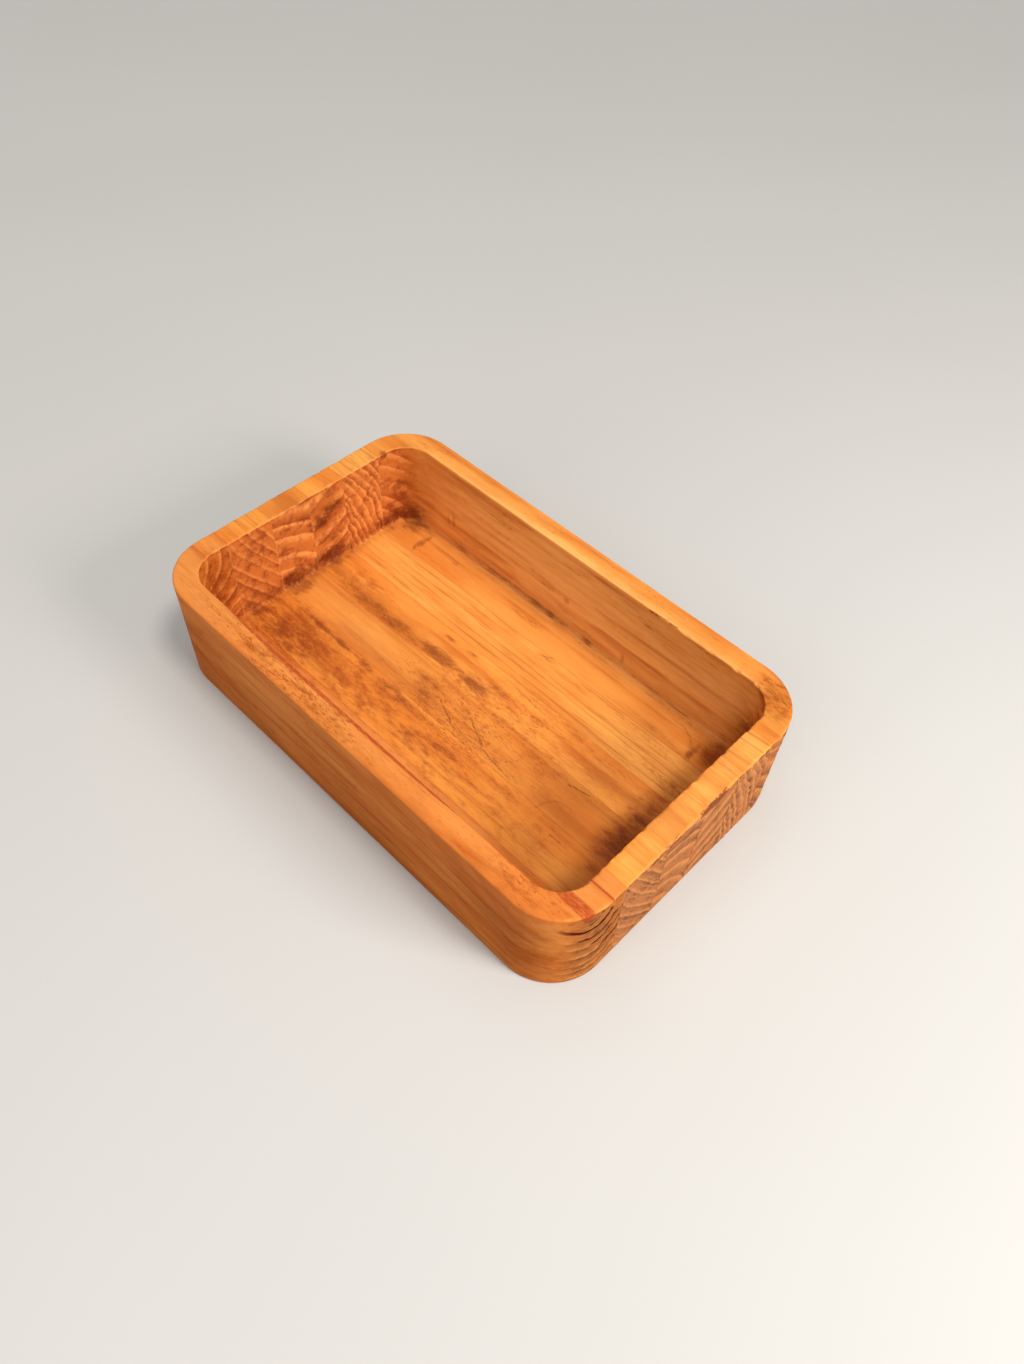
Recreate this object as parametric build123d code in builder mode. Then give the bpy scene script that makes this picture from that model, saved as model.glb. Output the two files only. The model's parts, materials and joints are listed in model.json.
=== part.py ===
"""Hollowed wooden mould: six pine staves, edge-glued into one block and routed out.

The grain of every stave runs along X and the glue lines are upright planes that face Y.
The origin is at the middle of the underside, Z is up.
"""

import os

from build123d import *

# Driving dimensions, in millimetres
length = 250.0
width = 154.0
height = 56.0
corner_radius = 26.0  # the four upright outer corners

side_wall = 11.2
end_wall = 11.9
cavity_depth = 48.0
cavity_corner_radius = 14.6
cavity_cove = 1.2  # left by the cutter where the walls meet the floor

outer_rim_ease = 1.0
inner_rim_ease = 0.6
base_ease = 1.2

# Y position of each glue line, and the staves between them from -Y to +Y
glue_lines = (-43.3, -19.2, 2.8, 23.4, 46.0)
stave_names = (
    "front_wall_stave",
    "floor_stave_1",
    "floor_stave_2",
    "floor_stave_3",
    "floor_stave_4",
    "back_wall_stave",
)

floor_thickness = height - cavity_depth

os.makedirs("parts", exist_ok=True)

# The whole glued block, hollowed and eased, as it leaves the workshop
with BuildPart() as block:
    with BuildSketch():
        RectangleRounded(length, width, corner_radius)
    extrude(amount=height)
    with BuildSketch(Plane.XY.offset(floor_thickness)):
        RectangleRounded(length - 2 * end_wall, width - 2 * side_wall, cavity_corner_radius)
    extrude(amount=cavity_depth, mode=Mode.SUBTRACT)

    floor_face = block.faces().filter_by(Plane.XY).sort_by(Axis.Z)[1]
    rim_face = block.faces().filter_by(Plane.XY).sort_by(Axis.Z)[-1]
    base_face = block.faces().filter_by(Plane.XY).sort_by(Axis.Z)[0]
    fillet(floor_face.outer_wire().edges(), radius=cavity_cove)
    fillet(rim_face.outer_wire().edges(), radius=outer_rim_ease)
    fillet(rim_face.inner_wires()[0].edges(), radius=inner_rim_ease)
    fillet(base_face.outer_wire().edges(), radius=base_ease)

# Each stave is the block's slice between two neighbouring glue lines
slice_edges = (-width / 2, *glue_lines, width / 2)
for stave_name, low_y, high_y in zip(stave_names, slice_edges, slice_edges[1:]):
    with BuildPart() as stave:
        add(block.part)
        with BuildSketch():
            with Locations((0, (low_y + high_y) / 2)):
                Rectangle(length, high_y - low_y)
        extrude(amount=height, mode=Mode.INTERSECT)
    stave.part.label = stave_name
    export_step(stave.part, f"parts/{stave_name}.step")
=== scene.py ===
"""Looks of the hollowed pine mould: six edge-glued staves on a pale table in soft studio light."""

import json
import math

import bpy
import numpy as np
from mathutils import Matrix, Vector


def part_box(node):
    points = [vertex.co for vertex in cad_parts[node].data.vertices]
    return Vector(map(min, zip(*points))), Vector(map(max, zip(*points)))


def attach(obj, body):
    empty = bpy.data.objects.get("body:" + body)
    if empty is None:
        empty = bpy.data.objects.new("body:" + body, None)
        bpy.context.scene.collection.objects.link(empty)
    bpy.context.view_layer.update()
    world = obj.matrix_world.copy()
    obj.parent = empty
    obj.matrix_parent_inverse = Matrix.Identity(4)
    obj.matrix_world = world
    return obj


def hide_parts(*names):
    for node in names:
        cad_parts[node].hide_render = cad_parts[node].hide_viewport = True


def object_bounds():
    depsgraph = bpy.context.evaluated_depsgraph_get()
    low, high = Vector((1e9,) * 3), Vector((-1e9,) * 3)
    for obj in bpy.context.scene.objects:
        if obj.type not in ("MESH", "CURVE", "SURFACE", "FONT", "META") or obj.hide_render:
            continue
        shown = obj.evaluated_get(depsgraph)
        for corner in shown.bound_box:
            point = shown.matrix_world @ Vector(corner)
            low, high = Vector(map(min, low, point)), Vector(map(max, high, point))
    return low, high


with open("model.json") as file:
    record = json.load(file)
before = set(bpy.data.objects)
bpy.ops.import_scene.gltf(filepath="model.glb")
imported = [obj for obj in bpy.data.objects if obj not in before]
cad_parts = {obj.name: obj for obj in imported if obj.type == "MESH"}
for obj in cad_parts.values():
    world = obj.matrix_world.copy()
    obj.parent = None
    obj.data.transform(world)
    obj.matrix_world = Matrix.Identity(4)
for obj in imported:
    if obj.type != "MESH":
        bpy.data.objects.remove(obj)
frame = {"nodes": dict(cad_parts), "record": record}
cad_low, cad_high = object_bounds()

MM = 0.001
BODY = "root"

# ---------------------------------------------------------------- sizes, all in millimetres

# The near end is at +X and the far end at -X. The front wall is at -Y and the back wall at +Y

stave_box = {name: [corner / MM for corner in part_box(name)] for name in frame["nodes"]}
mount_at = {m["name"]: Vector(m["pos_m"]) / MM for m in frame["record"]["mounts"]}
opening_top = {o["name"]: Vector(o["box_m"][1]) / MM for o in frame["record"]["physics"]["openings"]}

opening_gap = 0.3  # the record's opening boxes stand this far off the cavity walls
half_length = cad_high[0] / MM
half_width = cad_high[1] / MM
height = cad_high[2] / MM
floor_top = mount_at["cavity_floor"].z
inner_half_length = opening_top["soap_cavity_ends"].x + opening_gap
inner_half_width = opening_top["soap_cavity_sides"].y + opening_gap
inner_radius = inner_half_width - opening_top["soap_cavity_ends"].y - opening_gap
outer_radius = 26.0
outer_ease = 1.0
inner_ease = 0.6
base_ease = 1.2
cove = 1.2

# Mesh spacing, and how many pieces a round is cut into
end_step = 0.45
side_step = 1.0
arc_pieces = 60
outer_wall_step = 0.62
inner_wall_step = 0.72
rim_step = 0.6
ease_pieces = 4

# How far the rim's edges are chipped everywhere, and how much further where end grain broke away
outer_chip_least = 0.62
outer_chip_extra = 0.5
outer_chip_near_extra = 0.3
inner_chip_least = 0.38
inner_chip_extra = 0.75
splinter_extra = 1.5

# Each stave's growth rings: pith (y, z), ring width, how rings tighten outwards, wobble, the share of a
# ring that is hard late wood. How strongly rings show along the grain (lines), across it (bands) and how
# streaky the grain is, then the wood's own tint, the gloss of its finish and a random seed
STAVES = {
    "front_wall_stave": dict(pith=(-61.0, 53.0), ring=10.0, tighten=1.18, wobble=0.5, late=0.2, lines=0.6,
                             bands=0.9, streaks=0.5, tint=(0.89, 0.89, 1.35), gloss=0.02, seed=11),
    "floor_stave_1": dict(pith=(115.0, 135.0), ring=5.4, tighten=1.0, wobble=0.45, late=0.2, lines=0.5,
                          bands=0.5, streaks=0.6, tint=(0.98, 1.0, 1.02), gloss=0.16, seed=23),
    "floor_stave_2": dict(pith=(-25.0, -7.0), ring=9.6, tighten=1.0, wobble=0.6, late=0.3, lines=0.35,
                          bands=1.0, streaks=0.3, tint=(0.88, 0.88, 0.94), gloss=0.16, seed=37),
    "floor_stave_3": dict(pith=(-23.0, 103.0), ring=10.4, tighten=1.0, wobble=0.6, late=0.3, lines=0.6,
                          bands=0.9, streaks=0.7, tint=(0.99, 1.04, 1.18), gloss=0.16, seed=41),
    "floor_stave_4": dict(pith=(-65.0, -8.0), ring=3.6, tighten=1.0, wobble=1.0, late=0.36, lines=0.65,
                          bands=0.8, streaks=0.7, tint=(1.0, 1.2, 1.6), gloss=0.16, seed=59),
    "back_wall_stave": dict(pith=(-10.0, -36.0), ring=8.0, tighten=1.0, wobble=0.6, late=0.3, lines=0.6,
                            bands=0.5, streaks=0.35, tint=(0.97, 1.05, 1.32), gloss=0.12, seed=67),
}
glue_lines = sorted(round(stave_box[name][0].y, 3) for name in STAVES)[1:]


# ---------------------------------------------------------------- random fields and small sums


def lattice_noise(points, seed):
    """A smooth random value from -1 to 1 at each point, with one lattice cell per unit."""
    cell = np.floor(points).astype(np.int64)
    part = points - cell
    part = part * part * part * (part * (part * 6 - 15) + 10)
    total = np.zeros(len(points))
    # The large numbers only scramble a cell's place into a value that looks random
    for corner in np.ndindex(2, 2, 2):
        at = cell + corner
        mixed = at[:, 0] * 374761393 + at[:, 1] * 668265263 + at[:, 2] * 2147483629 + seed * 1274126177
        mixed = (mixed ^ (mixed >> 13)) * 1103515245
        value = ((mixed ^ (mixed >> 16)) & 0xFFFF) / 32767.5 - 1
        total += value * np.prod(np.where(corner, part, 1 - part), axis=1)
    return total


def field(points, sizes, seed):
    """Lattice noise whose lumps measure the given sizes along X, Y and Z."""
    return lattice_noise(points / np.array(sizes) + seed * 0.37, seed)


def rise(low, high, values):
    """0 at low and before it, 1 at high and past it, and a smooth rise between."""
    t = np.clip((values - low) / (high - low), 0, 1)
    return t * t * (3 - 2 * t)


def stations(marks, step):
    """Positions from the first mark to the last, every mark included, at most one step apart."""
    runs = [
        np.linspace(a, b, max(1, math.ceil((b - a) / step)) + 1)[:-1]
        for a, b in zip(marks, marks[1:])
    ]
    return np.append(np.concatenate(runs), marks[-1])


# ---------------------------------------------------------------- the block's surface as one grid

# Each glue line has a column of its own and one this far off it on both sides
glue_hair = 0.15
glue_marks = [y + offset for y in glue_lines for offset in (-glue_hair, 0.0, glue_hair)]
outer_straight = half_width - outer_radius
end_stations = stations([-outer_straight, *glue_marks, outer_straight], end_step)
end_pieces = len(end_stations) - 1
side_pieces = math.ceil(2 * (half_length - outer_radius) / side_step)

# First column of each run of the outline, anticlockwise from the +X end
EAST = 0
NORTH_EAST = end_pieces
NORTH = NORTH_EAST + arc_pieces
NORTH_WEST = NORTH + side_pieces
WEST = NORTH_WEST + arc_pieces
SOUTH_WEST = WEST + end_pieces
SOUTH = SOUTH_WEST + arc_pieces
SOUTH_EAST = SOUTH + side_pieces
columns = SOUTH_EAST + arc_pieces


def end_positions(straight):
    """Y of the columns along an end whose straight stretch ends at plus and minus straight."""
    known = [-outer_straight, glue_marks[0], glue_marks[-1], outer_straight]
    wanted = [-straight, glue_marks[0], glue_marks[-1], straight]
    return np.interp(end_stations, known, wanted)


def outline(half_x, half_y, radius):
    """Points and outward normals round a rounded rectangle, one for each column."""
    end_y = end_positions(half_y - radius)
    side_x = np.linspace(radius - half_x, half_x - radius, side_pieces + 1)
    quarter = np.linspace(0, math.pi / 2, arc_pieces + 1)[:-1]
    points = np.zeros((columns, 2))
    normals = np.zeros((columns, 2))
    points[EAST:NORTH_EAST] = np.stack([np.full(end_pieces, half_x), end_y[:-1]], 1)
    points[NORTH:NORTH_WEST] = np.stack([side_x[:0:-1], np.full(side_pieces, half_y)], 1)
    points[WEST:SOUTH_WEST] = np.stack([np.full(end_pieces, -half_x), end_y[:0:-1]], 1)
    points[SOUTH:SOUTH_EAST] = np.stack([side_x[:-1], np.full(side_pieces, -half_y)], 1)
    normals[EAST:NORTH_EAST] = (1, 0)
    normals[NORTH:NORTH_WEST] = (0, 1)
    normals[WEST:SOUTH_WEST] = (-1, 0)
    normals[SOUTH:SOUTH_EAST] = (0, -1)
    corners = ((NORTH_EAST, 1, 1), (NORTH_WEST, -1, 1), (SOUTH_WEST, -1, -1), (SOUTH_EAST, 1, -1))
    for turn, (first, sign_x, sign_y) in enumerate(corners):
        angles = turn * math.pi / 2 + quarter
        spokes = np.stack([np.cos(angles), np.sin(angles)], 1)
        centre = np.array([sign_x * (half_x - radius), sign_y * (half_y - radius)])
        points[first : first + arc_pieces] = centre + radius * spokes
        normals[first : first + arc_pieces] = spokes
    return points, normals


def quarter_round(count):
    """(sine, 1 - cosine) along a quarter circle, both ends included."""
    angles = np.linspace(0, math.pi / 2, count + 1)
    return np.stack([np.sin(angles), 1 - np.cos(angles)], 1)


def section_rows():
    """The wall's section from the underside round to the cavity floor, a row each:
    how far the row has gone over from the outer outline to the inner one, its depth in the wood, z."""
    rows = []
    for sine, rest in quarter_round(ease_pieces):
        rows.append((0, base_ease * (1 - sine), base_ease * rest))
    for z in stations([base_ease, height - outer_ease], outer_wall_step)[1:-1]:
        rows.append((0, 0, z))
    for sine, rest in quarter_round(ease_pieces):
        rows.append((0, outer_ease * rest, height - outer_ease * (1 - sine)))
    rim_width = half_width - inner_half_width - outer_ease - inner_ease
    for t in stations([0, rim_width], rim_step)[1:-1] / rim_width:
        rows.append((t, outer_ease + (inner_ease - outer_ease) * t, height))
    for sine, rest in quarter_round(ease_pieces):
        rows.append((1, inner_ease * (1 - sine), height - inner_ease * rest))
    for z in stations([floor_top + cove, height - inner_ease], inner_wall_step)[-2:0:-1]:
        rows.append((1, 0, z))
    for sine, rest in quarter_round(ease_pieces):
        rows.append((1, -cove * rest, floor_top + cove * (1 - sine)))
    return np.array(rows, float)


def edge_chips(ground, normals, seed, sizes, least, extra):
    """How far the edge is chipped at each column. End grain breaks off in small scallops."""
    points = np.column_stack([ground, np.zeros(len(ground))])
    on_end = rise(0.5, 0.95, np.abs(normals[:, 0]))
    scallops = np.clip(field(points, (9, sizes[0], 1), seed) + 0.15, 0, 1)
    crumbs = np.clip(field(points, (4, sizes[1], 1), seed + 1), 0, 1)
    return least + on_end * extra * (0.75 * scallops + 0.45 * crumbs)


def wall_grid():
    """The wall's points, rows by columns, with its edges chipped, and how much each point was chipped."""
    outer, outer_normals = outline(half_length, half_width, outer_radius)
    inner, inner_normals = outline(inner_half_length, inner_half_width, inner_radius)
    over, depth, z = section_rows().T[:, :, None]
    ground = (1 - over)[..., None] * (outer - depth[..., None] * outer_normals)
    ground = ground + over[..., None] * (inner + depth[..., None] * inner_normals)
    up = np.broadcast_to(z, ground.shape[:2]).copy()
    near_end = rise(-20, 100, outer[:, 0])
    outer_extra = outer_chip_extra + outer_chip_near_extra * near_end
    outer_chip = edge_chips(outer, outer_normals, 5, (4.2, 1.3), outer_chip_least, outer_extra)
    inner_chip = edge_chips(inner, inner_normals, 8, (2.6, 0.9), inner_chip_least, inner_chip_extra)
    # Towards the near end, the back wall's inner edge is splintered
    back_edge = np.column_stack([inner, np.zeros(columns)])
    splinters = rise(58, 68, inner[:, 0]) * rise(0.7, 1, inner_normals[:, 1])
    inner_chip += splinter_extra * splinters * np.clip(field(back_edge, (3.5, 9, 1), 13), 0, 1)
    worn = np.zeros(up.shape)
    edges = ((outer, outer_normals, -1, outer_chip), (inner, inner_normals, 1, inner_chip))
    for edge, normals, side, chip in edges:
        into_wood = ((ground - edge) * normals).sum(2) * side
        cut = np.clip(chip - np.maximum(into_wood, 0) - (height - up), 0, None) / 2
        ground += side * cut[..., None] * normals
        up -= cut
        worn = np.maximum(worn, cut)
    return np.concatenate([ground, up[..., None]], 2), worn


def fill_grids(loop, ids, points):
    """Quad grids of point numbers that fill a closed loop of columns. New points go into the list."""
    span = arc_pieces + side_pieces
    half_arc = arc_pieces // 2
    made = sum(len(p) for p in points)
    z = loop[0, 2]

    def number(xy):
        nonlocal made
        xy = xy.reshape(-1, 2)
        points.append(np.column_stack([xy, np.full(len(xy), z)]))
        made += len(xy)
        return np.arange(made - len(xy), made)

    def block(boundary_ids, side):
        """The grid between a long side with its half corners and the middle block's edge row."""
        edge_ids, low_right, low_left, outer_ids = boundary_ids
        grid = np.zeros((half_arc + 1, span + 1), int)
        grid[0], grid[-1] = edge_ids, outer_ids
        grid[:, 0], grid[:, -1] = low_right, low_left
        every = np.concatenate(points)[:, :2]
        bottom, top, right, left = (every[k] for k in (grid[0], grid[-1], grid[:, 0], grid[:, -1]))
        t = np.linspace(0, 1, half_arc + 1)[:, None, None]
        s = share[None, :, None]
        flat = (1 - t) * bottom + t * top + (1 - s) * right[:, None] + s * left[:, None]
        flat -= (1 - t) * ((1 - s) * bottom[0] + s * bottom[-1]) + t * ((1 - s) * top[0] + s * top[-1])
        grid[1:-1, 1:-1] = number(flat[1:-1, 1:-1]).reshape(half_arc - 1, span - 1)
        return grid if side > 0 else grid[:, ::-1]

    top_ids = ids[NORTH_EAST + half_arc + np.arange(span + 1)]
    bottom_ids = ids[(SOUTH_EAST + half_arc - np.arange(span + 1)) % columns]
    top_x = loop[NORTH_EAST + half_arc + np.arange(span + 1), 0]
    share = (1 - top_x / top_x[0]) / 2
    right_ids = ids[EAST : NORTH_EAST + 1]
    left_ids = ids[WEST : SOUTH_WEST + 1][::-1]
    middle = np.zeros((end_pieces + 1, span + 1), int)
    middle[:, 0], middle[:, -1] = right_ids, left_ids
    x = loop[EAST, 0] * (1 - 2 * share[1:-1])
    y = loop[EAST : NORTH_EAST + 1, 1]
    grid_x, grid_y = np.meshgrid(x, y)
    middle[:, 1:-1] = number(np.stack([grid_x, grid_y], 2)).reshape(end_pieces + 1, span - 1)
    arc = np.arange(half_arc + 1)
    north = block((middle[-1], ids[NORTH_EAST + arc], ids[WEST - arc], top_ids), 1)
    south = block((middle[0], ids[(columns - arc) % columns], ids[SOUTH_WEST + arc], bottom_ids), -1)
    return [middle, north, south]


def quads(grid):
    """Four point numbers for each cell of a grid of point numbers."""
    return np.stack([grid[:-1, :-1], grid[:-1, 1:], grid[1:, 1:], grid[1:, :-1]], 2).reshape(-1, 4)


def block_surface():
    """The whole hollowed block as points, quads and how far each point was chipped."""
    wall, worn = wall_grid()
    rows = wall.shape[0]
    points = [wall.reshape(-1, 3)]
    wall_ids = np.arange(rows * columns).reshape(rows, columns)
    grids = [np.column_stack([wall_ids, wall_ids[:, 0]])]
    grids += fill_grids(wall[0], wall_ids[0], points)
    grids += [g[:, ::-1] for g in fill_grids(wall[-1], wall_ids[-1], points)]
    points = np.concatenate(points)
    worn = np.concatenate([worn.ravel(), np.zeros(len(points) - worn.size)])
    return points, np.concatenate([quads(g) for g in grids]), worn


def surface_normals(points, faces):
    """Unit normals at the points of a quad mesh, in the faces' own winding."""
    across = points[faces[:, 2]] - points[faces[:, 0]]
    along = points[faces[:, 3]] - points[faces[:, 1]]
    face_normal = np.cross(across, along)
    normals = np.zeros_like(points)
    for corner in range(4):
        np.add.at(normals, faces[:, corner], face_normal)
    return normals / np.maximum(np.linalg.norm(normals, axis=1), 1e-12)[:, None]


# ---------------------------------------------------------------- what time and tools did to the wood, and where shade and light are painted on it

# Dark stains, and painted shade by the near end wall: centre (x, y, z), half sizes, strength
STAINS_AND_PAINTED_SHADE = [
    # along the foot of the far end wall and in its corners
    ((-113, 0, 10), (4, 66, 5), 0.45),
    ((-113, -40, 12), (6, 5, 5), 0.6),
    ((-113, -12, 12), (6, 9, 7), 0.95),
    ((-113, 11, 12), (6, 13, 6.5), 0.95),
    ((-113, 36, 12), (5, 5, 5), 0.5),
    ((-113, 50, 13), (6, 11, 6), 0.85),
    ((-106, 61, 12), (13, 7, 9), 1.0),
    # on the far rim's inner edge
    ((-113.5, 50, 55), (2.5, 3, 2.5), 0.8),
    ((-113.3, 2, 55), (1.6, 8, 1.8), 0.6),
    ((-109, -54, 53), (3, 2, 5), 0.7),
    # dark rings in the far end wall
    ((-113, 7, 36), (3, 7, 4.5), 0.9),
    ((-113, 16, 42), (3, 8, 4.5), 0.8),
    ((-113, 13, 24), (3, 10, 5), 0.45),
    ((-113, -2, 45), (3, 6, 4), 0.5),
    ((-113, -37, 36), (3, 3.5, 4), 0.45),
    ((-112, 49, 38), (3, 5, 7), 0.35),
    # blotches along the cavity floor
    ((-30, 7.5, 8), (15, 4.5, 3), 0.9),
    ((-5, 8, 8), (11, 4.5, 3), 1.0),
    ((6, 13, 8), (9, 3, 3), 0.5),
    ((-72, 6.2, 8), (50, 4.6, 3), 0.62),
    ((-84, 13, 8), (30, 5, 3), 0.25),
    ((-111, -42, 8.6), (4, 24, 3), 0.5),
    ((20, 2, 8), (26, 1.4, 2), 0.5),
    ((-34, 19, 8), (6, 1.8, 2), 0.65),
    ((-20, 20, 8), (5, 1.4, 2), 0.55),
    ((-20, -10, 8), (14, 10, 3), 0.6),
    ((-22, -21.8, 8), (30, 2.6, 3), 0.75),
    ((-78, -20.6, 8), (38, 1.6, 2), 0.95),
    ((-90, -36, 8), (24, 12, 3), 0.4),
    ((-108, -36, 8), (9, 14, 3), 0.4),
    ((12, -27, 8), (12, 5, 3), 0.45),
    ((40, -24, 8), (20, 3, 3), 0.35),
    ((50, -3, 8), (14, 4, 3), 0.45),
    ((45, 22, 8), (30, 2, 3), 0.35),
    ((9, 44, 8), (8, 1.8, 3), 0.5),
    ((-69, 56, 8), (3, 2, 2), 0.45),
    ((64, 49, 8), (14, 3, 3), 0.3),
    # painted shade on the floor along the foot of the near end wall and up its back corner, with some real
    # dark stain
    ((105, 12, 8), (8, 66, 6), 0.15),
    ((98, -8, 8), (10, 10, 6), 0.65),
    ((97, 7, 8), (9, 6, 6), 0.55),
    ((99, 57, 9), (9, 11, 9), 0.75),
    ((104, 30, 9), (8, 12, 8), 0.25),
    ((107, 65, 22), (10, 4, 22), 0.7),
    ((100, -38, 8), (8, 8, 4), 0.3),
    # more blotches along the cavity floor
    ((90, 52, 8), (2.4, 7, 3), 0.85),
    ((-91.5, 54, 8), (1.8, 7, 3), 0.7),
    ((-109, -10, 8.5), (5, 8, 3), 0.9),
    # where the back wall meets the floor
    ((-20, 65.4, 8.6), (8, 1.5, 1.8), 0.95),
    ((-11, 65.4, 8.6), (5, 1.5, 1.8), 0.95),
    ((13, 65.4, 8.6), (6, 1.5, 1.8), 0.95),
    ((-40, 65.6, 8.6), (70, 1.5, 1.8), 0.6),
    ((60, 65.6, 8.2), (60, 1.1, 1.5), 0.4),
    # small marks up the back wall
    ((-84.5, 65.8, 22), (1.2, 2, 4), 0.6),
    ((-80.5, 65.8, 23), (1.0, 2, 4.5), 0.7),
    ((-2, 65.8, 25), (2.4, 2, 3.5), 0.6),
    ((-2, 65.8, 17), (3.0, 2, 1.0), 0.5),
    ((35, 65.8, 14), (1.6, 2, 4.0), 0.55),
    ((45, 65.8, 45), (4.5, 2, 1.4), 0.5),
    ((-42, 65.8, 52), (4.5, 2, 0.9), 0.55),
]

# Hollows where the near end's grain tore out below the rim: centre, half sizes, share of the full depth
TEARS = [
    ((125, 8.5, 53.2), (3, 8.5, 3.2), 1.0),
    ((125, -12, 53), (3, 7.0, 1.6), 0.6),
    ((125, -26, 52.6), (3, 4.0, 1.5), 0.55),
    ((125, -6, 46), (3, 7.0, 1.7), 0.35),
    ((125, 24, 54.5), (3, 4.0, 1.2), 0.4),
    ((125, 41, 53.5), (3, 5.0, 1.4), 0.45),
]

# Deeper, redder wood, and painted shade on the front outer side, by the near end wall and in the back
# corners: centre, half sizes, strength
DEEP_WOOD_AND_PAINTED_SHADE = [
    # painted shade on the front outer side and round its near corner
    ((0, -80, 20), (200, 18, 36), 1.0),
    ((106, -74, 20), (26, 14, 46), 0.3),
    # deeper, redder wood
    ((-68, 8.0, 8), (56, 6.5, 3), 0.45),
    # painted shade on the floor along the foot of the near end wall and up its back corner
    ((99, 24, 8), (9, 34, 8), 0.42),
    ((107, 0, 8), (13, 80, 9), 0.42),
    ((108, 64, 22), (14, 7, 28), 0.65),
    ((98, -4, 8), (12, 15, 8), 0.85),
    ((102, 55, 9), (11, 13, 8), 0.7),
    # deeper, redder wood
    ((119, -55, 56), (9, 5, 3), 0.25),
    # painted shade on the near end wall's inner face and at its foot
    ((113, 0, 30), (6, 80, 26), 0.5),
    # deeper, redder wood
    ((-86, -33, 8), (34, 14, 5), 0.38),
    # painted shade in the far end's back corner
    ((-108, 63, 30), (13, 11, 40), 0.42),
    # deeper, redder wood
    ((-113, 8, 11), (5, 62, 8), 0.35),
    ((114, 66, 56), (16, 18, 6), 0.5),
    ((-113, 12, 39), (4, 11, 12), 0.45),
    ((-113, -56, 34), (8, 12, 30), 0.33),
]

# Paler, more golden wood, and painted light on the back inner wall: centre, half sizes, strength
PALE_WOOD_AND_PAINTED_LIGHT = [
    # painted light on the back inner wall, where light thrown back by the floor falls, over its own more
    # golden tone
    ((0, 66, 32), (135, 6, 34), 1.0),
    # paler, more golden wood
    ((-75, -9, 8), (48, 11, 4), 0.35),
    ((119, -10, 56), (7, 46, 3), 0.35),
]

# Stretches of curly, darker, mottled wood: centre, half sizes, strength
MOTTLES = [
    ((-88, -32, 8), (34, 15, 5), 1.0),
    ((-45, -33, 8), (36, 13, 5), 0.7),
    ((5, -34, 8), (44, 14, 5), 0.35),
    ((60, -30, 8), (34, 18, 5), 0.25),
    ((-32, -71, 56), (62, 8, 3), 0.3),
    ((96, -68, 56), (22, 12, 3), 0.35),
    ((25, 0, 8), (70, 36, 4), 0.2),
    ((-95, 15, 8), (30, 9, 4), 0.25),
    ((97, 4, 8), (10, 36, 6), 0.6),
    ((112, 66, 56), (16, 16, 6), 0.45),
    ((-113, -52, 34), (10, 12, 20), 0.7),
]

# Stretches peppered with short dark pores: centre, half sizes, strength
SPECKS = [
    ((5, -12, 8), (52, 26, 3), 0.9),
    ((25, 10, 8), (40, 14, 3), 0.55),
    ((-32, -71, 56), (66, 8, 3), 1.0),
    ((100, -66, 56), (20, 13, 3), 0.7),
    ((60, -72, 56), (60, 7, 3), 0.35),
    ((30, 72, 56), (90, 6, 3), 0.4),
    ((112, 66, 56), (14, 12, 4), 0.9),
    ((75, 20, 8), (26, 40, 3), 0.3),
]

# Drying cracks that follow the front stave's rings at the near end: ring, first and last angle
# from straight below the pith, in degrees. Each lies a little inside its ring's end, as a share of a
# ring, and the rings there are narrower than the stave's first ones
CRACKS = [(1, -62, 85), (2, -12, 62), (3, 4, 58), (4, 12, 50), (5, 16, 44)]
crack_inset = 0.11
cracked_ring_width = 0.75 * STAVES["front_wall_stave"]["ring"]

# Y of the thin red seam across the near end's rim
heart_seam_y = -50.4

# How deep the wood is carved. On end grain: anywhere, more inside the cavity, more on the dry outer ends
early_wood_depths = (0.07, 0.13, 0.12)
broken_grain_depths = (0.03, 0.07, 0.08)
# On every face, then on the cavity's ends
sanding_wave = 0.05
cutter_wave = 0.25
# In each of the places above and on the glue lines
stain_and_shade_depth = 0.05
tear_depth = 0.9
tear_roughness = 0.4
glue_depth = 0.06
crack_depth = 0.5


def latewood(phase, late):
    """The hard outer part of each ring: 0 in the early wood, 1 in the late wood."""
    share = phase % 1.0
    return rise(1 - 1.5 * late, 1 - 0.8 * late, share) * (1 - rise(0.96, 1.0, share))


def heart_line(x):
    """Y of the red heart streak, which crosses the near end's rim and then follows the front wall's
    inner edge."""
    return -61.3 - 4.9 * rise(105, 45, x)


def ring_phase(p, stave):
    """How many growth rings lie between the pith and each point."""
    seed = stave["seed"]
    along = p * (1, 0, 0)
    pith_y = stave["pith"][0] + 1.2 * field(along, (95, 1, 1), seed)
    pith_z = stave["pith"][1] + 1.2 * field(along, (80, 1, 1), seed + 1)
    if stave is STAVES["front_wall_stave"]:
        pith_y = heart_line(p[:, 0])
    radius = np.hypot(p[:, 1] - pith_y, p[:, 2] - pith_z)
    knotty = 1 + 1.2 * rise(80, 125, np.abs(p[:, 0]))
    radius += stave["wobble"] * field(p, (80, 12, 12), seed + 2)
    radius += 0.45 * stave["wobble"] * knotty * field(p, (26, 3.6, 3.6), seed + 3)
    uneven = np.column_stack([radius / stave["ring"] * 0.8, np.zeros((len(p), 2))])
    radius += 0.22 * stave["ring"] * lattice_noise(uneven, seed + 4)
    return (np.maximum(radius, 0) / stave["ring"]) ** stave["tighten"]


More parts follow.
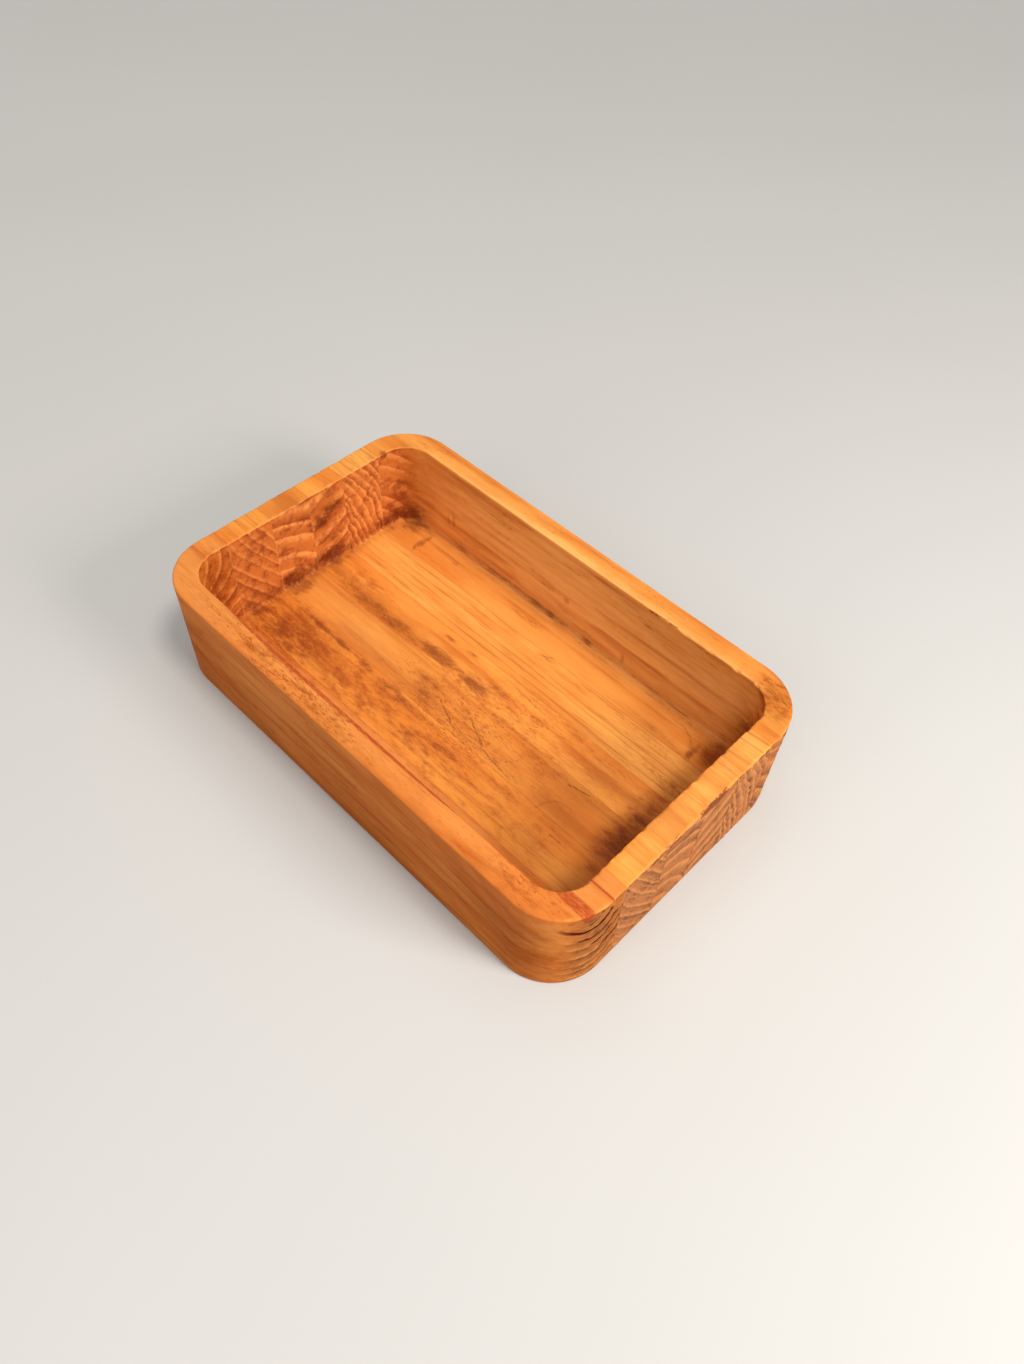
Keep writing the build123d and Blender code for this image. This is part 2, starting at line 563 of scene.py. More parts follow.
def patches(p, places, seed, fray):
    """0 away from every place to its strength at its centre, with frayed edges that follow the grain."""
    frayed = fray * (0.6 * field(p, (9, 2.2, 2.2), seed) + 0.4 * field(p, (3.5, 1.0, 1.0), seed + 1))
    total = np.zeros(len(p))
    for centre, half_sizes, strength in places:
        reach = np.linalg.norm((p - np.array(centre)) / np.array(half_sizes), axis=1)
        total = np.maximum(total, strength * rise(1.35, 0.15, reach + frayed))
    return total


def heart_fields(p):
    """Distance from the red heart streak, and its breadth: broad on the near end's rim, then a sliver
    that tapers both ways along the front wall's inner edge."""
    x = p[:, 0]
    off = np.hypot(p[:, 1] - heart_line(x), (p[:, 2] - height) * 0.55)
    sliver = 0.5 + 1.0 * rise(95, -30, x) * rise(-90, -40, x)
    smear = 2.4 * rise(103, 112, x) * (1 + 0.25 * field(p, (14, 1.8, 1.8), 83))
    fade = rise(-92, -60, x) * rise(height - 9, height - 4, p[:, 2])
    return off, np.maximum(sliver, smear) * fade


def crack_fields(p, facing_x, phase):
    """Distance in millimetres from the nearest line that a crack can follow, and how far it is open."""
    pith_z = STAVES["front_wall_stave"]["pith"][1]
    angle = np.degrees(np.arctan2(p[:, 1] - heart_line(p[:, 0]), pith_z - p[:, 2]))
    opened = np.zeros(len(p))
    for ring, first, last in CRACKS:
        on_ring = rise(0.4, 0.25, np.abs(phase - ring))
        opened = np.maximum(opened, on_ring * rise(first, first + 8, angle) * rise(last, last - 8, angle))
    opened *= rise(0.55, 0.85, facing_x) * (p[:, 0] > inner_half_length)
    lifted = phase + crack_inset
    return np.abs(lifted - np.round(lifted)) * cracked_ring_width, opened


def wood_fields(p, normals, worn, stave):
    """The named values at each point that shape the surface and colour it."""
    phase = ring_phase(p, stave)
    facing_x = np.abs(normals[:, 0])
    to_glue = np.min([np.abs(p[:, 1] - y) for y in glue_lines], axis=0)
    in_plan = (np.abs(p[:, 0]) < inner_half_length + 0.5) & (np.abs(p[:, 1]) < inner_half_width + 0.5)
    inside = rise(height - 0.3, height - 1.5, p[:, 2]) * in_plan * (p[:, 2] > floor_top - 1)
    on_end = np.where(inside > 0, rise(0.4, 0.85, facing_x), rise(0.6, 0.95, facing_x))
    fields = {
        "ring": phase,
        "end_grain": on_end,
        # stains, and painted shade by the near end wall
        "stain_and_shade": patches(p, STAINS_AND_PAINTED_SHADE, 71, 0.4),
        "mottle": patches(p, MOTTLES, 75, 0.3),
        "speck": patches(p, SPECKS, 79, 0.3),
        "worn": np.clip(worn / 0.3, 0, 1),
        "torn": patches(p, TEARS, 85, 0.35) * facing_x,
        # paler wood, and painted light on the back inner wall
        "pale": patches(p, PALE_WOOD_AND_PAINTED_LIGHT, 87, 0.25),
        # deeper, redder wood, and painted shade on the front outer side, by the near end wall and in the
        # back corners
        "deep": patches(p, DEEP_WOOD_AND_PAINTED_SHADE, 89, 0.2),
        "dry": on_end * (inside == 0),
        "glue": rise(0.3, 0.0, to_glue),
        "inside": inside,
    }
    if stave is STAVES["front_wall_stave"]:
        fields["heart_off"], fields["heart_breadth"] = heart_fields(p)
        fields["heart_top"] = rise(height - 4, height - 1, p[:, 2])
        fields["crack_off"], fields["crack_open"] = crack_fields(p, facing_x, phase)
    return fields


def on_end_grain(fields, depths):
    """A depth on end grain only: anywhere on it, and more inside the cavity and on the dry outer ends."""
    anywhere, inside, dry = depths
    return fields["end_grain"] * (anywhere + inside * fields["inside"] + dry * fields["dry"])


def carve(p, normals, fields, stave):
    """The points moved into the wood by sanding waves, raised late wood, torn end grain and cracks."""
    early = 1 - latewood(fields["ring"], stave["late"])
    rough = 1 + field(p, (5, 1.8, 1.8), 93) + 0.7 * field(p, (5, 0.9, 0.9), 95)
    rough = np.clip(rough, 0, 3)
    inside_end = fields["end_grain"] * fields["inside"]
    depth = sanding_wave * (1 + field(p, (60, 25, 25), 91))
    depth += on_end_grain(fields, early_wood_depths) * early
    depth += on_end_grain(fields, broken_grain_depths) * rough
    depth += inside_end * cutter_wave * (1 + field(p, (90, 24, 60), 97))
    depth += stain_and_shade_depth * fields["stain_and_shade"] + fields["torn"] * (tear_depth + tear_roughness * rough)
    glued = fields["glue"] * (1 - 2 * inside_end)
    depth += glue_depth * glued
    if "crack_open" in fields:
        depth += crack_depth * fields["crack_open"] * rise(0.9, 0.3, fields["crack_off"])
    return p - np.maximum(depth, 0)[:, None] * normals


def boundary_loops(faces):
    """Closed rings of point numbers round the open edges of the faces, wound to continue them."""
    edges = np.concatenate([faces[:, [k, (k + 1) % 4]] for k in range(4)])
    key = np.sort(edges, 1)
    _, first, counts = np.unique(key, axis=0, return_index=True, return_counts=True)
    following = {int(b): int(a) for a, b in edges[first[counts == 1]]}
    loops = []
    while following:
        start, at = following.popitem()
        loop = [start]
        while at != start:
            loop.append(at)
            at = following.pop(at)
        loops.append(loop)
    return loops


def make_stave(name, stave, points, faces, worn, normals):
    """One stave: its share of the block's surface, carved, and closed by flat faces on its glue lines."""
    stave["box"] = stave_box[name]
    low_y, high_y = (corner.y for corner in stave["box"])
    middle_y = points[faces, 1].mean(1)
    own = faces[(middle_y > low_y) & (middle_y < high_y)]
    used, own = np.unique(own, return_inverse=True)
    own = own.reshape(-1, 4)
    p, n = points[used], normals[used]
    fields = wood_fields(p, n, worn[used], stave)
    carved = carve(p, n, fields, stave)
    caps = boundary_loops(own)
    mesh = bpy.data.meshes.new(name + "_wood")
    mesh.from_pydata(carved * MM, [], own.tolist() + caps)
    smooth = np.ones(len(own) + len(caps), bool)
    smooth[len(own) :] = False
    mesh.polygons.foreach_set("use_smooth", smooth)
    for label, values in fields.items():
        mesh.attributes.new(label, "FLOAT", "POINT").data.foreach_set("value", values.astype(np.float32))
    piece = bpy.data.objects.new(name + "_wood", mesh)
    bpy.context.scene.collection.objects.link(piece)
    return piece


# ---------------------------------------------------------------- materials


def srgb(red, green, blue):
    """A colour given in display values from 0 to 255, as the linear colour that a shader takes."""
    values = [v / 255 for v in (red, green, blue)]
    return (*(v / 12.92 if v < 0.04045 else ((v + 0.055) / 1.055) ** 2.4 for v in values), 1.0)


class Graph:
    """Short calls that add nodes to one material."""

    def __init__(self, name):
        self.material = bpy.data.materials.new(name)
        self.material.use_nodes = True
        self.tree = self.material.node_tree
        self.tree.nodes.clear()

    def node(self, kind, **settings):
        made = self.tree.nodes.new("ShaderNode" + kind)
        for setting, value in settings.items():
            setattr(made, setting, value)
        return made

    def feed(self, socket, value):
        if isinstance(value, bpy.types.NodeSocket):
            self.tree.links.new(value, socket)
        else:
            socket.default_value = value

    def math(self, operation, *values, clamp=False):
        made = self.node("Math", operation=operation, use_clamp=clamp)
        for socket, value in zip(made.inputs, values):
            self.feed(socket, value)
        return made.outputs[0]

    def vector(self, operation, *values):
        made = self.node("VectorMath", operation=operation)
        for socket, value in zip(made.inputs, values):
            self.feed(socket, value)
        return made.outputs["Value" if operation in ("LENGTH", "DOT_PRODUCT", "DISTANCE") else "Vector"]

    def scaled(self, vector, factors):
        return self.vector("MULTIPLY", vector, factors)

    def attribute(self, name):
        return self.node("Attribute", attribute_name=name).outputs["Fac"]

    def rise(self, low, high, value, to_low=0.0, to_high=1.0):
        made = self.node("MapRange", interpolation_type="SMOOTHSTEP")
        for socket, given in zip(made.inputs, (value, low, high, to_low, to_high)):
            self.feed(socket, given)
        return made.outputs["Result"]

    def noise(self, vector, sizes, detail=2.0, roughness=0.5, seed=0.0, output="Fac"):
        """Noise whose lumps measure the given sizes in the vector's units, from about 0.2 to 0.8."""
        moved = self.scaled(vector, tuple(1 / s for s in sizes))
        moved = self.vector("ADD", moved, (seed, seed * 1.7, -seed))
        made = self.node("TexNoise")
        self.feed(made.inputs["Vector"], moved)
        for label, value in (("Scale", 1.0), ("Detail", detail), ("Roughness", roughness)):
            self.feed(made.inputs[label], value)
        return made.outputs[output]

    def shifted(self, vector, sizes, reach, seed):
        """The vector moved by noise, at most about reach along X, Y and Z."""
        random_way = self.noise(vector, sizes, 2.0, 0.5, seed, "Color")
        random_way = self.vector("SUBTRACT", random_way, (0.5, 0.5, 0.5))
        random_way = self.scaled(random_way, tuple(3 * r for r in reach))
        return self.vector("ADD", vector, random_way)

    def mix(self, factor, first, second, blend="MIX"):
        """Two colours mixed. The colour mix takes them on sockets 6 and 7 and gives its own on 2."""
        made = self.node("Mix", data_type="RGBA", blend_type=blend, clamp_factor=True)
        self.feed(made.inputs["Factor"], factor)
        self.feed(made.inputs[6], first)
        self.feed(made.inputs[7], second)
        return made.outputs[2]

    def bump(self, height_value, distance, normal=None):
        made = self.node("Bump")
        self.feed(made.inputs["Strength"], 1.0)
        self.feed(made.inputs["Distance"], distance)
        self.feed(made.inputs["Height"], height_value)
        if normal is not None:
            self.feed(made.inputs["Normal"], normal)
        return made.outputs["Normal"]


# The oiled wood's own colours. The pale one also paints light on the back inner wall, and the smudge and
# stain ones also paint shade by the near end wall
LIGHT = srgb(224, 140, 56)
CLOUD = srgb(208, 114, 38)
PALE_AND_LIT = srgb(242, 178, 92)
SMUDGE_AND_SHADE = srgb(168, 80, 28)
RING_LINE = srgb(178, 82, 24)
MOTTLE = srgb(156, 74, 24)
SPECK = srgb(150, 66, 28)
END_MIDDLE = srgb(202, 115, 50)
END_DARK = srgb(156, 77, 34)
END_LATE = srgb(238, 160, 86)
DRY_MIDDLE = srgb(170, 102, 50)
DRY_DARK = srgb(114, 66, 34)
DRY_LATE = srgb(216, 142, 76)
STAIN_AND_SHADE = srgb(112, 46, 18)
TORN = srgb(104, 50, 26)
MARK = srgb(110, 48, 20)
HEART = srgb(160, 60, 28)
WORN = srgb(234, 152, 78)
CRACK = srgb(80, 20, 10)
# What deeper, redder wood and painted shade multiply their colour by
DEEPENED_AND_SHADED = (0.51, 0.34, 0.07, 1.0)
# The table's two tones
TABLE_DARK = srgb(182, 181, 178)
TABLE_LIGHT = srgb(189, 188, 186)

# Height of the grain's fine relief, and the width of the fine rings drawn between the main ones
relief_height = 0.07
fine_ring = 2.6

# Marks drawn on the wood. Straight ones: height of the face, start, end, width, strength
SCRATCHES = [
    (floor_top, (-10, -9.5), (5, -16), 1.3, 0.75),
    (floor_top, (7, -7), (22, -14), 1.4, 0.9),
    (floor_top, (12, -8), (24, -13), 1.0, 0.6),
    (floor_top, (22, -15), (43, -18), 1.2, 0.7),
    (floor_top, (63, -1), (73, 1), 1.2, 0.9),
    (floor_top, (10, 20.5), (30, 19), 1.0, 0.6),
    (floor_top, (40, 22.5), (52, 22.8), 0.7, 0.5),
    (floor_top, (74, -25), (80, -25), 1.2, 0.8),
    (floor_top, (60, -13.5), (78, -12.0), 0.6, 0.4),
    (floor_top, (2, 42.5), (9, 46), 1.0, 0.55),
    (height, (44, 65.9), (60, 66.4), 0.8, 0.9),
    (height, (124.4, 0), (124.0, 16), 1.8, 1.0),
    (height, (124.3, -21), (124.1, -13), 1.0, 0.7),
]
# Round ones, left by a cup or a cutter: height of the face, centre, radius, first and last angle,
# width, strength
ARCS = [
    (floor_top, (-84, 53), 9.0, 135, 225, 3.2, 0.6),
    (floor_top, (75, 44), 16.0, 10, 50, 4.0, 0.7),
    (floor_top, (75, 44), 16.0, 30, 100, 2.0, 0.45),
    (floor_top, (0, -47), 15.0, 45, 140, 2.4, 0.5),
    (floor_top, (70, -19), 9.0, 60, 190, 2.4, 0.3),
]


def scratch(g, flat, start, end, width):
    """1 along a straight mark, 0 away from it."""
    run = Vector((*end, 0)) - Vector((*start, 0))
    from_start = g.vector("SUBTRACT", flat, (*start, 0))
    along = g.math("DIVIDE", g.vector("DOT_PRODUCT", from_start, run), run.length_squared, clamp=True)
    nearest = g.node("VectorMath", operation="SCALE")
    g.feed(nearest.inputs["Vector"], run)
    g.feed(nearest.inputs["Scale"], along)
    return g.rise(width / 2, 0.0, g.vector("DISTANCE", from_start, nearest.outputs["Vector"]))


def arc(g, flat, centre, radius, first, last, width):
    """1 along part of a circle, 0 away from it."""
    middle, half_span = math.radians((first + last) / 2), math.radians((last - first) / 2)
    from_centre = g.vector("SUBTRACT", flat, (*centre, 0))
    off = g.math("ABSOLUTE", g.math("SUBTRACT", g.vector("LENGTH", from_centre), radius))
    spoke = g.vector("NORMALIZE", from_centre)
    ahead = g.vector("DOT_PRODUCT", spoke, (math.cos(middle), math.sin(middle), 0))
    ends = g.rise(math.cos(half_span) - 0.04, math.cos(half_span) + 0.12, ahead)
    return g.math("MULTIPLY", g.rise(width / 2, 0.0, off), ends)


def marks(g, place, fleck, stave):
    """Every scratch and arc that lies on the stave, broken up by the wood's own flecks."""
    low_y, high_y = (corner.y for corner in stave["box"])
    z = g.node("SeparateXYZ")
    g.feed(z.inputs[0], place)
    flat = g.scaled(g.shifted(place, (5, 5, 5), (0.6, 0.6, 0), 3.0), (1, 1, 0))
    drawn = []
    for level, start, end, width, strength in SCRATCHES:
        if max(start[1], end[1]) > low_y - 2 and min(start[1], end[1]) < high_y + 2:
            drawn.append((level, strength, scratch(g, flat, start, end, width)))
    for level, centre, radius, first, last, width, strength in ARCS:
        if centre[1] + radius > low_y and centre[1] - radius < high_y:
            drawn.append((level, strength, arc(g, flat, centre, radius, first, last, width)))
    total = 0.0
    for level, strength, mark in drawn:
        at_level = g.rise(2.0, 1.0, g.math("ABSOLUTE", g.math("SUBTRACT", z.outputs["Z"], level)))
        mark = g.math("MULTIPLY", g.math("MULTIPLY", mark, at_level), strength)
        total = g.math("MAXIMUM", total, mark)
    return g.math("MULTIPLY", total, g.rise(0.38, 0.6, fleck, 0.25, 1.0))


def grey(g, value):
    """A shade of grey to multiply a colour by."""
    made = g.node("CombineColor")
    for socket in made.inputs[:3]:
        g.feed(socket, value)
    return made.outputs[0]


def long_grain(g, place, share, ring_tone, stave):
    """Wood seen along its length: soft clouds, faint ring lines and streaks and fibres of every width."""
    seed = stave["seed"]
    streaky = stave["streaks"]
    bent = g.shifted(place, (75, 22, 22), (0, 1.6, 1.6), seed + 12)
    cloud = g.noise(place, (90, 13, 13), 3.0, 0.55, seed)
    band = g.noise(bent, (70, 3.6, 3.6), 2.0, 0.5, seed + 1)
    streak = g.noise(bent, (22, 1.0, 1.0), 2.0, 0.6, seed + 9)
    fibre = g.noise(bent, (7, 0.4, 0.4), 2.0, 0.6, seed + 2)
    patchy = g.noise(place, (40, 9, 9), 2.0, 0.5, seed + 5)
    showing = g.rise(0.38, 0.62, patchy, 0.25, 1.0)
    line = g.math("MULTIPLY", g.rise(0.62, 0.93, share), g.rise(0.94, 1.0, share, 1.0, 0.0))
    line = g.math("MULTIPLY", line, g.rise(0.0, 1.0, ring_tone, 0.3, stave["lines"]))
    colour = g.mix(g.rise(0.38, 0.66, cloud, 0.0, 0.8), LIGHT, CLOUD)
    # Paler, more golden wood, and painted light on the back inner wall
    paled_and_lit = g.math("MULTIPLY", g.attribute("pale"), g.rise(0.35, 0.6, band, 0.95, 0.7))
    colour = g.mix(paled_and_lit, colour, PALE_AND_LIT)
    banded = g.math("MULTIPLY", showing, g.rise(0.5, 0.68, band, 0.0, streaky))
    colour = g.mix(banded, colour, CLOUD)
    streaked = g.math("MULTIPLY", showing, g.rise(0.54, 0.72, streak, 0.0, 0.6 * streaky))
    colour = g.mix(streaked, colour, RING_LINE)
    colour = g.mix(g.math("MULTIPLY", line, showing), colour, RING_LINE)
    fine = g.rise(0.3, 0.7, fibre, 1 - 0.13 * streaky, 1 + 0.1 * streaky)
    fine = g.math("MULTIPLY", fine, g.rise(0.3, 0.7, patchy, 1.05, 0.95))
    colour = g.mix(1.0, colour, grey(g, fine), "MULTIPLY")
    return g.mix(1.0, colour, (*stave["tint"], 1.0), "MULTIPLY")


def end_grain(g, ring, share, ring_tone, blotch, pit, dry, stave):
    """Wood seen across its cut ends: early wood drinks the oil and darkens, late wood stays light."""
    late = stave["late"]
    band = g.rise(1 - 1.8 * late, 1 - 0.6 * late, share)
    band = g.math("MULTIPLY", band, g.rise(0.93, 1.0, share, 1.0, 0.0))
    finer = max(1, round(stave["ring"] / fine_ring))
    fine_share = g.math("FRACT", g.math("MULTIPLY", g.math("ADD", ring, ring_tone), finer))
    fine = g.math("MULTIPLY", g.rise(0.3, 0.55, fine_share), g.rise(0.55, 0.7, fine_share, 1.0, 0.0))
    fine = g.math("MULTIPLY", fine, g.rise(0.42, 0.62, blotch, 0.0, 0.6))
    broken = g.rise(0.3, 0.55, pit, 0.5, 1.0)
    oiled_band = g.math("MULTIPLY", g.math("MAXIMUM", band, g.math("MULTIPLY", fine, 0.4)), broken)
    clear = g.rise(0.38, 0.62, blotch, stave["bands"], 0.35 * stave["bands"])
    oiled_band = g.math("MULTIPLY", oiled_band, clear)
    dry_band = g.math("MULTIPLY", g.math("MAXIMUM", g.math("MULTIPLY", band, 0.6), fine), broken)
    thirst = g.math("MULTIPLY", g.rise(0.0, 0.65, share, 0.85, 0.1), g.rise(0.1, 1.0, ring_tone, 0.25, 1.0))
    thirst = g.math("ADD", thirst, g.rise(0.45, 0.68, blotch, -0.15, 0.9), clamp=True)
    oiled = g.mix(oiled_band, g.mix(thirst, END_MIDDLE, END_DARK), END_LATE)
    oiled = g.mix(g.rise(0.55, 0.72, pit, 0.0, 0.25), oiled, END_DARK)
    bare = g.mix(dry_band, g.mix(thirst, DRY_MIDDLE, DRY_DARK), DRY_LATE)
    bare = g.mix(g.rise(0.52, 0.7, pit, 0.0, 0.6), bare, DRY_DARK)
    return g.mix(dry, oiled, bare)


def blemishes(g, colour, place, end, fleck, blotch, stave):
    """Mottles, pores, stains, painted shade, wear, glue lines and marks over the wood's own colour."""
    seed = stave["seed"]
    curl = g.noise(place, (9, 4.0, 4.0), 5.0, 0.62, seed + 8)
    grit = g.noise(place, (2.6, 0.9, 0.9), 3.0, 0.65, seed + 10)
    mottle = g.attribute("mottle")
    mottled = g.math("ADD", g.math("MULTIPLY", curl, 0.75), g.math("MULTIPLY", grit, 0.25))
    mottled = g.math("ADD", mottled, g.math("MULTIPLY", mottle, 0.16))
    mottled = g.math("MULTIPLY", g.rise(0.48, 0.74, mottled), g.rise(0.0, 0.35, mottle))
    colour = g.mix(g.math("MULTIPLY", mottled, 0.85), colour, MOTTLE)

    speck = g.attribute("speck")
    smudge = g.noise(place, (34, 4.5, 4.5), 3.0, 0.55, seed + 11)
    smudge = g.math("ADD", smudge, g.math("MULTIPLY", speck, 0.08))
    smudge = g.math("MULTIPLY", g.rise(0.53, 0.78, smudge), g.rise(0.35, 0.65, grit, 0.15, 1.0))
    colour = g.mix(g.math("MULTIPLY", smudge, 0.75), colour, SMUDGE_AND_SHADE)

    dash = g.noise(place, (2.8, 0.75, 0.75), 3.0, 0.65, seed + 3)
    dash = g.math("ADD", dash, g.math("MULTIPLY", speck, 0.14))
    dashes = g.rise(0.65, 0.74, dash)
    colour = g.mix(g.math("MULTIPLY", dashes, g.rise(0.0, 0.6, speck, 0.3, 0.65)), colour, SPECK)

    # Dark stains and the painted shade by the near end wall share one mask and darken through the smudge
    # and stain colours
    stain_and_shade = g.attribute("stain_and_shade")
    ragged = g.math("SUBTRACT", g.math("ADD", g.math("MULTIPLY", grit, 0.7), curl), 0.85)
    stained_and_shaded = g.math("ADD", stain_and_shade, g.math("MULTIPLY", ragged, 1.9))
    stained_and_shaded = g.math("MULTIPLY", g.rise(0.0, 1.2, stained_and_shaded), g.rise(0.0, 0.5, stain_and_shade))
    colour = g.mix(g.math("MULTIPLY", stain_and_shade, 0.38), colour, SMUDGE_AND_SHADE)
    colour = g.mix(g.math("MULTIPLY", stained_and_shaded, g.rise(0.2, 0.8, end, 0.66, 0.92)), colour, STAIN_AND_SHADE)
    # Deeper, redder wood, and painted shade on the front outer side, by the near end wall and in the back
    # corners
    deepened_and_shaded = g.mix(1.0, colour, DEEPENED_AND_SHADED, "MULTIPLY")
    colour = g.mix(g.attribute("deep"), colour, deepened_and_shaded)

    rubbed = g.math("MULTIPLY", g.attribute("worn"), g.rise(0.35, 0.6, blotch, 0.1, 0.7))
    colour = g.mix(rubbed, colour, WORN)
    colour = g.mix(g.rise(0.05, 0.4, g.attribute("torn"), 0.0, 0.85), colour, TORN)
    inside_end = g.math("MULTIPLY", end, g.attribute("inside"))
    glue = g.math("MULTIPLY", g.attribute("glue"), g.rise(0.35, 0.6, fleck, 0.3, 1.0))
    colour = g.mix(g.math("MULTIPLY", glue, g.math("MULTIPLY", inside_end, 0.4)), colour, END_LATE)
    bare = g.math("SUBTRACT", 1.0, inside_end)
    colour = g.mix(g.math("MULTIPLY", glue, g.math("MULTIPLY", bare, 0.35)), colour, RING_LINE)
    return g.mix(marks(g, place, fleck, stave), colour, MARK)


def heart_and_cracks(g, colour, place, fleck):
    """The front stave's red heart streak and its drying cracks."""
    breadth = g.attribute("heart_breadth")
    reach = g.math("DIVIDE", g.attribute("heart_off"), g.math("MAXIMUM", breadth, 0.001))
    streak = g.math("MULTIPLY", g.rise(1.2, 0.7, reach), g.rise(0.35, 0.6, fleck, 0.5, 0.9))
    colour = g.mix(streak, colour, HEART)
    flat = g.scaled(place, (1, 1, 0))
    seam = scratch(g, flat, (half_length - 13, heart_seam_y), (half_length + 1, heart_seam_y), 1.1)
    colour = g.mix(g.math("MULTIPLY", seam, g.rise(0.2, 0.6, g.attribute("heart_top"))), colour, HEART)
    crack = g.math("MULTIPLY", g.rise(1.3, 0.6, g.attribute("crack_off")), g.attribute("crack_open"))
    return g.mix(crack, colour, CRACK)


def pine(name, stave):
    """Oiled pine: growth rings, fibres, pores, stains, painted light and shade and end grain, from the
    piece's named values.
    """
    g = Graph(name)
    seed = stave["seed"]
    place = g.scaled(g.node("TexCoord").outputs["Object"], (1 / MM,) * 3)
    ring = g.attribute("ring")
    end = g.attribute("end_grain")
    share = g.math("FRACT", ring)
    ring_tone = g.node("TexWhiteNoise", noise_dimensions="1D")
    g.feed(ring_tone.inputs["W"], g.math("ADD", g.math("FLOOR", ring), seed))
    ring_tone = ring_tone.outputs["Value"]
    blotch = g.noise(place, (12, 5, 5), 4.0, 0.65, seed + 4)
    fleck = g.noise(place, (3.2, 0.8, 0.8), 3.0, 0.6, seed + 6)
    pit = g.noise(place, (3.0, 0.5, 0.5), 2.0, 0.6, seed + 7)

    along = long_grain(g, place, share, ring_tone, stave)
    across = end_grain(g, ring, share, ring_tone, blotch, pit, g.attribute("dry"), stave)
    colour = blemishes(g, g.mix(end, along, across), place, end, fleck, blotch, stave)
    if stave is STAVES["front_wall_stave"]:
        colour = heart_and_cracks(g, colour, place, fleck)

    rough = g.math("ADD", g.rise(0.3, 0.7, blotch, 0.46, 0.6), g.math("MULTIPLY", end, 0.16))
    relief = g.math("ADD", g.math("MULTIPLY", fleck, 0.5), g.math("MULTIPLY", blotch, 0.5))
    relief = g.math("ADD", relief, g.math("MULTIPLY", g.math("MULTIPLY", end, pit), 2.0))

    shader = g.node("BsdfPrincipled")
    shader.inputs["Specular IOR Level"].default_value = stave["gloss"]
    g.feed(shader.inputs["Base Color"], colour)
    g.feed(shader.inputs["Roughness"], rough)
    g.feed(shader.inputs["Normal"], g.bump(relief, relief_height * MM))
    g.feed(g.node("OutputMaterial").inputs["Surface"], shader.outputs[0])
    return g.material


def pale_table():
    """A matte off-white table top with a faint unevenness."""
    g = Graph("pale_table")
    place = g.node("TexCoord").outputs["Object"]
    tone = g.noise(place, (0.4, 0.4, 0.4), 3.0, 0.5)
    colour = g.mix(tone, TABLE_DARK, TABLE_LIGHT)
    shader = g.node("BsdfPrincipled")
    shader.inputs["Specular IOR Level"].default_value = 0.2
    shader.inputs["Roughness"].default_value = 0.75
    g.feed(shader.inputs["Base Color"], colour)
    g.feed(g.node("OutputMaterial").inputs["Surface"], shader.outputs[0])
    return g.material


# ---------------------------------------------------------------- studio


def make_table():
    """The pale floor, level with the block's underside."""
    reach = 12 * half_length * MM
    mesh = bpy.data.meshes.new("table")
    corners = [(-reach, -reach), (reach, -reach), (reach, reach), (-reach, reach)]
    mesh.from_pydata([(x, y, cad_low[2]) for x, y in corners], [], [(0, 1, 2, 3)])
    mesh.materials.append(pale_table())
    table = bpy.data.objects.new("table", mesh)
    bpy.context.scene.collection.objects.link(table)


# Where the broad lights stand, in metres, which doesn't change their light
sun_distance = 1.5


def add_lamp(name, kind, direction, distance, strength, colour):
    """A lamp that looks at the middle of the block from a direction."""
    light = bpy.data.lights.new(name, kind)
    light.energy = strength
    light.color = colour
    lamp = bpy.data.objects.new(name, light)
    bpy.context.scene.collection.objects.link(lamp)
    lamp.location = Vector(direction).normalized() * distance
    lamp.rotation_euler = lamp.location.to_track_quat("Z", "Y").to_euler()
    return light


def soft_box(name, direction, distance, size, power, colour):
    """A square soft box. The closer it stands, the faster its light falls off along the block."""
    light = add_lamp(name, "AREA", direction, distance, power, colour)
    light.shape = "SQUARE"
    light.size = size


def broad_light(name, direction, spread, strength, colour):
    """Even light over the whole table, with shadows softened by its spread in degrees."""
    light = add_lamp(name, "SUN", direction, sun_distance, strength, colour)
    light.angle = math.radians(spread)


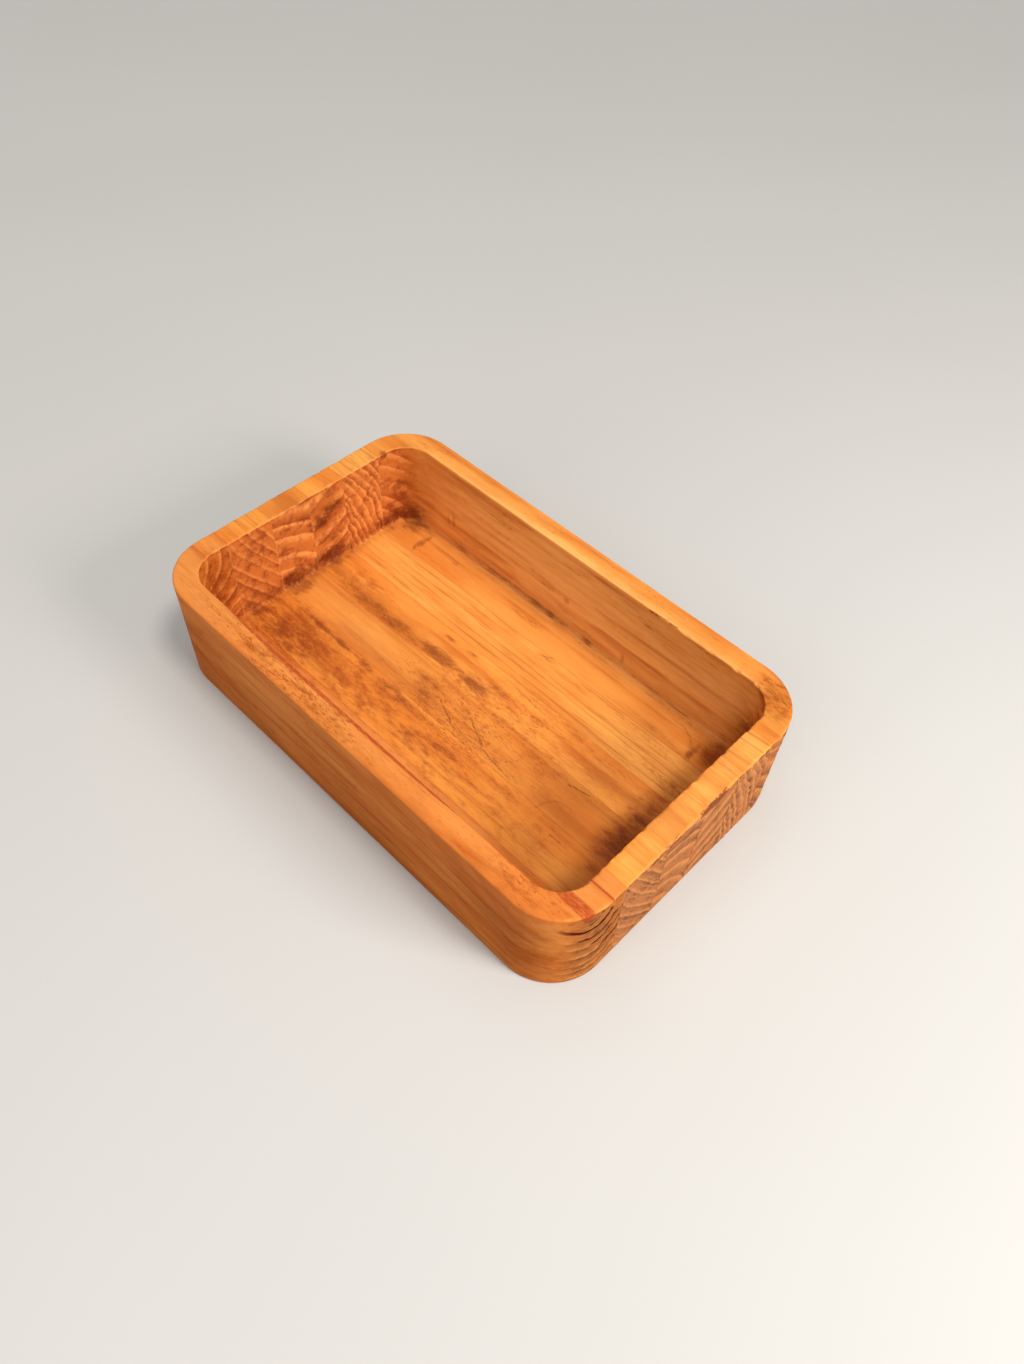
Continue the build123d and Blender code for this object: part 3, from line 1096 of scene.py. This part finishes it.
def make_lights():
    """A key from the near end, a front soft box, two broad lights and a weak glow from all round."""
    soft_box("key", (0.62, 0.13, 0.43), distance=0.9, size=0.28, power=6.0, colour=(1.0, 0.96, 0.91))
    soft_box("front", (0.12, -0.8, 0.6), distance=1.2, size=0.8, power=4.8, colour=(1.0, 0.97, 0.93))
    broad_light("high_key", (0.42, 0.06, 0.9), spread=13, strength=1.5, colour=(1.0, 0.97, 0.92))
    broad_light("overhead", (-0.1, 0.0, 1.0), spread=60, strength=0.9, colour=(1.0, 0.98, 0.95))
    world = bpy.data.worlds.new("studio")
    bpy.context.scene.world = world
    world.use_nodes = True
    world.node_tree.nodes["Background"].inputs["Color"].default_value = (1.0, 0.98, 0.96, 1)
    world.node_tree.nodes["Background"].inputs["Strength"].default_value = 0.25
    bpy.context.scene.view_settings.view_transform = "Standard"


def make_camera():
    """The camera, from its bearing round the block, its tilt, its roll and the spot it looks at."""
    azimuth, elevation, roll = (math.radians(a) for a in (41.717, 51.695, 3.595))
    target = Vector((1.6, 26.3, 0.0)) * MM
    distance = 0.4917
    back = Vector((
        math.sin(azimuth) * math.cos(elevation),
        -math.cos(azimuth) * math.cos(elevation),
        math.sin(elevation),
    ))
    level = (-back).cross(Vector((0, 0, 1))).normalized()
    upright = level.cross(-back)
    right = level * math.cos(roll) + upright * math.sin(roll)
    up = upright * math.cos(roll) - level * math.sin(roll)
    camera = bpy.data.objects.new("camera", bpy.data.cameras.new("camera"))
    bpy.context.scene.collection.objects.link(camera)
    turn = Matrix((right, up, back)).transposed().to_4x4()
    camera.matrix_world = Matrix.Translation(target + back * distance) @ turn
    camera.data.lens = 27.07
    camera.data.sensor_width = 36.0
    camera.data.clip_start = 0.01
    bpy.context.scene.camera = camera


def make_staves():
    """Every stave as one mesh that rides the block and takes the place of its CAD node."""
    points, faces, worn = block_surface()
    normals = surface_normals(points, faces)
    for name, stave in STAVES.items():
        piece = make_stave(name, stave, points, faces, worn, normals)
        piece.data.materials.append(pine(name + "_pine", stave))
        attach(piece, BODY)
        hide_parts(name)


make_camera()
make_lights()
make_table()
make_staves()
